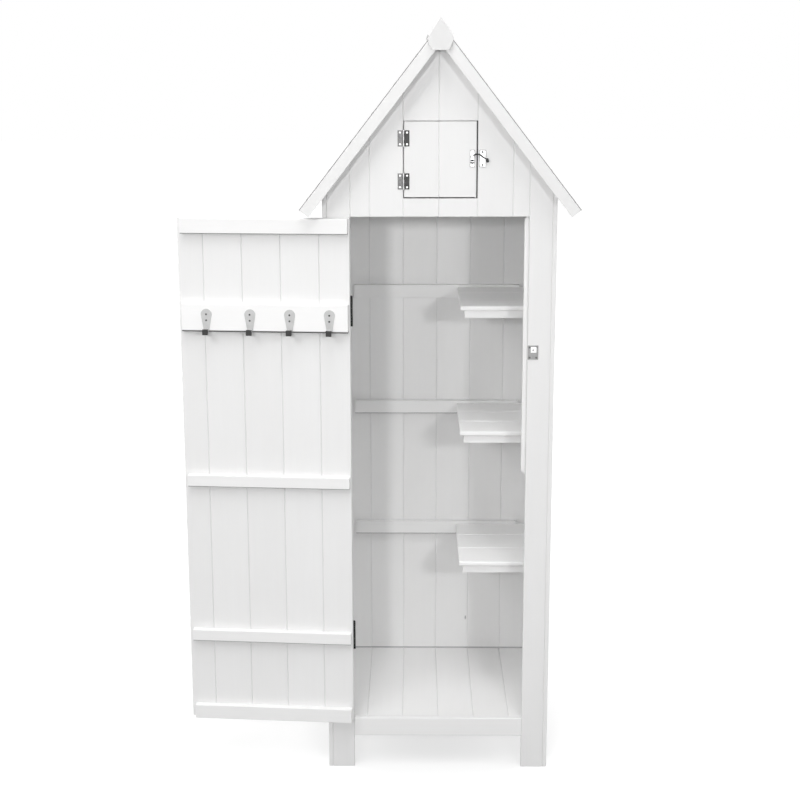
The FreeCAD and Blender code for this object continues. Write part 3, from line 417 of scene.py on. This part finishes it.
def cross_head_screw():
    """One cross-head screw at the origin: its head faces -Y at y = 0, its point is at 8.7 mm."""
    fresh()
    bpy.ops.mesh.primitive_cylinder_add(
        vertices=16, radius=HEAD_RADIUS, depth=HEAD_HEIGHT, location=(0, HEAD_HEIGHT / 2, 0),
        rotation=(math.pi / 2, 0, 0))
    screw = bpy.context.object
    bpy.ops.object.transform_apply(location=True, rotation=True, scale=True)
    pick_faces(screw, lambda face: face.normal.y > 0.9)
    bpy.ops.transform.resize(value=(SHANK_SHARE, 1.0, SHANK_SHARE), center_override=(0, 0, 0))
    bpy.ops.mesh.extrude_region_move(TRANSFORM_OT_translate={"value": (0, SHANK_LENGTH, 0)})
    bpy.ops.mesh.extrude_region_move(TRANSFORM_OT_translate={"value": (0, POINT_LENGTH, 0)})
    bpy.ops.transform.resize(value=(POINT_SHARE, 1.0, POINT_SHARE), center_override=(0, 0, 0))
    pick_faces(screw, lambda face: face.normal.y < -0.9)
    bpy.ops.mesh.inset(thickness=0.00035, depth=-0.00012)
    bpy.ops.object.mode_set(mode="OBJECT")
    for turn in (0.0, math.pi / 2):
        fresh()
        bpy.ops.mesh.primitive_cube_add(size=1.0, location=(0, 0, 0), rotation=(0, turn, 0))
        slot = bpy.context.object
        slot.scale = RECESS_SIZE
        bpy.ops.object.transform_apply(location=True, rotation=True, scale=True)
        fresh()
        screw.select_set(True)
        bpy.context.view_layer.objects.active = screw
        cut = screw.modifiers.new("cross", "BOOLEAN")
        cut.operation = "DIFFERENCE"
        cut.solver = "EXACT"
        cut.object = slot
        bpy.ops.object.modifier_apply(modifier="cross")
        bpy.data.objects.remove(slot, do_unlink=True)
    return screw


def set_copies(pattern, name, places, material):
    """Copies of one shape, each with its own mesh, joined into one piece."""
    copies = []
    for place in places:
        copy = pattern.copy()
        copy.data = pattern.data.copy()
        copy.data.transform(place)
        bpy.context.scene.collection.objects.link(copy)
        copies.append(copy)
    fresh()
    for copy in copies:
        copy.select_set(True)
    bpy.context.view_layer.objects.active = copies[0]
    if len(copies) > 1:
        bpy.ops.object.join()
    return settle(bpy.context.object, name, material)


def at(x, y, z, turn):
    """A place for a screw, with its cross turned by some angle."""
    return Matrix.Translation((x, y, z)) @ Matrix.Rotation(turn, 4, "Y")


swung_open = (Matrix.Translation(DOOR_PIN) @ Matrix.Rotation(-DOOR_SWING, 4, "Z")
              @ Matrix.Translation(-DOOR_PIN))
facing_in = Matrix.Rotation(math.pi, 4, "Z")

screw = cross_head_screw()
frame_places = [at(POST_HINGE_X, PLATE_FACE, z, z * 40) for z in HINGE_HEIGHTS]
frame_places += [at(x, PLATE_FACE, z, x * 90 + z * 40)
                 for x in KEEPER_COLUMNS for z in KEEPER_HEIGHTS]
frame_places += [at(GABLE_KEEPER_X, PLATE_FACE, z, z * 40) for z in GABLE_LATCH_HEIGHTS]
gable_frame_places = [at(GABLE_FRAME_HINGE_X, PLATE_FACE, z, z * 40) for z in GABLE_HINGE_HEIGHTS]
post_screws = set_copies(screw, "post_plate_screws", frame_places, dark_screw)
hinge_screws = set_copies(screw, "gable_hinge_frame_screws", gable_frame_places, bright_screw)
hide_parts("frame_screws")
for piece in (post_screws, hinge_screws):
    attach(piece, "cabinet")
gable_screws = set_copies(screw, "gable_door_plate_screws", [
    at(GABLE_DOOR_HINGE_X, PLATE_FACE, z, z * 50) for z in GABLE_HINGE_HEIGHTS] + [
    at(GABLE_LATCH_X, PLATE_FACE, z, z * 50) for z in GABLE_LATCH_HEIGHTS], bright_screw)
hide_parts("gable_door_screws")
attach(gable_screws, "gable_door")
door_plate_screws = set_copies(screw, "door_plate_screws", [
    swung_open @ at(DOOR_HINGE_X, PLATE_FACE, z, z * 30) for z in HINGE_HEIGHTS] + [
    swung_open @ at(DOOR_LATCH_X, PLATE_FACE, z, z * 30) for z in DOOR_LATCH_HEIGHTS], dark_screw)
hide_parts("door_screws")
hook_screws = set_copies(screw, "coat_hook_cross_screws", [
    swung_open @ Matrix.Translation((x, HOOK_PLATE_FACE, z)) @ facing_in
    @ Matrix.Rotation(x * 30 + z * 9, 4, "Y")
    for x in HOOK_COLUMNS for z in HOOK_HEIGHTS], dark_screw)
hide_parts("coat_hook_screws")
for piece in (door_plate_screws, hook_screws):
    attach(piece, "door")
bpy.data.objects.remove(screw, do_unlink=True)


def raised_pad():
    """The bright pad pressed out of the post keeper, with its middle raised a little."""
    fresh()
    bpy.ops.mesh.primitive_cube_add(size=1.0, location=PAD_MIDDLE)
    pad = bpy.context.object
    pad.scale = (0.0130, 0.0007, 0.0130)
    bpy.ops.object.transform_apply(location=True, rotation=True, scale=True)
    pick_faces(pad, lambda face: face.normal.y < -0.9)
    bpy.ops.mesh.inset(thickness=0.0008, depth=0.0)
    bpy.ops.transform.translate(value=(0, -0.0003, 0))
    bpy.ops.object.mode_set(mode="OBJECT")
    soft = pad.modifiers.new("soft", "BEVEL")
    soft.width = 0.0003
    soft.segments = 2
    bpy.ops.object.modifier_apply(modifier="soft")
    return settle(pad, "post_keeper_pad", bare_steel("pad_zinc", 0.92))


def round_button():
    """The low round head on the small latch plate, with a groove round its middle."""
    fresh()
    bpy.ops.mesh.primitive_cylinder_add(
        vertices=32, radius=0.0048, depth=0.0006, location=BUTTON_MIDDLE,
        rotation=(math.pi / 2, 0, 0))
    button = bpy.context.object
    bpy.ops.object.transform_apply(location=True, rotation=True, scale=True)
    pick_faces(button, lambda face: face.normal.y < -0.9)
    bpy.ops.mesh.inset(thickness=0.0011, depth=0.0)
    bpy.ops.transform.translate(value=(0, -0.0002, 0))
    bpy.ops.mesh.inset(thickness=0.0007, depth=-0.0002)
    bpy.ops.mesh.inset(thickness=0.0004, depth=0.00025)
    finish = Finish("button_steel")
    place = finish.place(shift=tuple(-value for value in BUTTON_MIDDLE))
    away = finish.length(place)
    height = finish.maths("ABSOLUTE", finish.axis(place, Z))
    # Painted reflection: dark arcs above and below the middle of the head.
    painted_dark_bands = finish.between(away, 0.0006, 0.0013) * finish.between(height, 0.0005, 0.0010)
    cloud = finish.noise(finish.place(), 260.0, 3.0, 0.6)
    material = finish.finish(
        Base_Color=finish.blend(painted_dark_bands, grey(0.85), grey(0.02)), Metallic=1.0,
        Roughness=finish.between(cloud, 0.3, 0.7, 0.3, 0.42))
    return settle(button, "gable_latch_button", material)


def felt_nail():
    """One clout nail at the origin, its head up the Z axis."""
    fresh()
    bpy.ops.mesh.primitive_cylinder_add(
        vertices=12, radius=0.0042, depth=0.0006, location=(0, 0, 0.0003))
    nail = bpy.context.object
    bpy.ops.object.transform_apply(location=True, rotation=True, scale=True)
    pick_faces(nail, lambda face: face.normal.z > 0.9)
    bpy.ops.mesh.inset(thickness=0.0016, depth=0.0)
    bpy.ops.transform.translate(value=(0, 0, 0.0005))
    bpy.ops.object.mode_set(mode="OBJECT")
    return nail


pad = raised_pad()
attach(pad, "cabinet")
button = round_button()
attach(button, "gable_door")

nail = felt_nail()
nail_places = []
for sign in (1, -1):
    on_slope = Matrix.Translation((0, 0, ROOF_PEAK)) @ Matrix.Rotation(sign * SLOPE, 4, "Y")
    rows = [(0.485, -0.25 + 0.1 * step) for step in range(6)] + [(0.485, 0.25)]
    rows += [(0.085 + 0.08 * step, y) for step in range(5) for y in (-0.252, 0.252)]
    nail_places += [on_slope @ Matrix.Translation((sign * reach, y, 0.0)) for reach, y in rows]
nails = set_copies(nail, "felt_clout_nails", nail_places, bare_steel("nail_zinc", 0.62, 0.4, 0.55))
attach(nails, "cabinet")
bpy.data.objects.remove(nail, do_unlink=True)


# Floor, light and camera

def seen_by_eye(finish):
    """One for rays from the camera and for mirror and glass rays."""
    seen = 0.0
    for ray in ("Is Camera Ray", "Is Glossy Ray", "Is Transmission Ray"):
        seen = finish.node("ShaderNodeLightPath", output=ray) + seen
    return finish.maths("MINIMUM", seen, 1.0)


def pale_floor(colour):
    """Studio floor: it keeps the object's shadow and goes to white for the camera."""
    bpy.ops.object.select_all(action="DESELECT")
    bpy.ops.mesh.primitive_plane_add(size=60.0, location=(0, 0, -0.0006))
    floor = bpy.context.object
    floor.name = "studio_floor"
    finish = Finish("studio_floor")
    away = finish.length(finish.place())
    glow = finish.between(away, 0.6, 5.0, 0.62, 0.92)
    plain = finish.node("ShaderNodeBsdfDiffuse", {}, {"Color": (colour, colour, colour, 1)})
    light = finish.node("ShaderNodeEmission", {}, {"Strength": seen_by_eye(finish) * glow})
    both = finish.node("ShaderNodeAddShader", {}, {0: plain, 1: light})
    finish.node("ShaderNodeOutputMaterial", {}, {"Surface": both})
    floor.data.materials.append(finish.material)


def studio_world(strength):
    """Even white light, and a white backdrop for the camera."""
    world = bpy.data.worlds.new("studio")
    bpy.context.scene.world = world
    finish = Finish("studio", world)
    fill = finish.node("ShaderNodeBackground", {}, {"Color": (1, 1, 1, 1), "Strength": strength})
    white = finish.node("ShaderNodeBackground", {}, {"Color": (1, 1, 1, 1), "Strength": 1.0})
    choice = finish.node("ShaderNodeMixShader", {}, {0: seen_by_eye(finish), 1: fill, 2: white})
    finish.node("ShaderNodeOutputWorld", {}, {"Surface": choice})


def soft_lamp(name, place, target, width, height, watts):
    """A rectangular lamp that faces its target."""
    data = bpy.data.lights.new(name, "AREA")
    data.shape = "RECTANGLE"
    data.size = width
    data.size_y = height
    data.energy = watts
    lamp = bpy.data.objects.new(name, data)
    bpy.context.scene.collection.objects.link(lamp)
    lamp.location = place
    lamp.rotation_euler = (Vector(target) - Vector(place)).to_track_quat("-Z", "Y").to_euler()


def photo_camera():
    """The photograph's viewpoint, with a small shift."""
    place = (-0.05386, -3.35298, 1.68)
    yaw, pitch, roll = 0.01171, 0.20033, -0.00192
    forward = Vector((-math.sin(yaw), math.cos(yaw), 0))
    right = Vector((math.cos(yaw), math.sin(yaw), 0))
    look = forward * math.cos(pitch) - Vector((0, 0, 1)) * math.sin(pitch)
    up = forward * math.sin(pitch) + Vector((0, 0, 1)) * math.cos(pitch)
    side = right * math.cos(roll) + up * math.sin(roll)
    top = up * math.cos(roll) - right * math.sin(roll)
    data = bpy.data.cameras.new("photo_camera")
    data.sensor_width = 36.0
    data.lens = 62.305
    data.shift_y = -0.0625
    data.clip_start = 0.05
    data.clip_end = 60
    camera = bpy.data.objects.new("photo_camera", data)
    bpy.context.scene.collection.objects.link(camera)
    turn = Matrix((side, top, -look)).transposed().to_4x4()
    camera.matrix_world = Matrix.Translation(place) @ turn
    bpy.context.scene.camera = camera


MIDDLE = (0, 0, 1.0)
pale_floor(0.42)
studio_world(0.28)
soft_lamp("left_lamp", (-0.85, -3.7, 1.88), MIDDLE, 0.25, 0.25, 28)
soft_lamp("right_lamp", (1.15, -3.7, 1.88), MIDDLE, 0.25, 0.25, 24)
soft_lamp("door_lamp", (-1.3, -1.9, 2.2), (-0.4, -0.2, 1.2), 0.5, 0.5, 7)
soft_lamp("high_front_softbox", (0.0, -3.3, 6.7), MIDDLE, 3.0, 2.0, 88)
soft_lamp("high_softbox", (0.0, -1.8, 7.5), MIDDLE, 3.0, 2.0, 122)
soft_lamp("high_left_softbox", (-3.5, -4.2, 5.5), MIDDLE, 2.0, 2.0, 32)
soft_lamp("left_side_softbox", (-4.5, 1.0, 2.4), MIDDLE, 2.0, 2.0, 84)
soft_lamp("right_side_softbox", (4.5, 1.0, 2.4), MIDDLE, 2.0, 2.0, 84)
soft_lamp("back_softbox", (0.0, 4.8, 2.8), MIDDLE, 2.5, 2.0, 104)
photo_camera()
bpy.context.scene.view_settings.view_transform = "Standard"
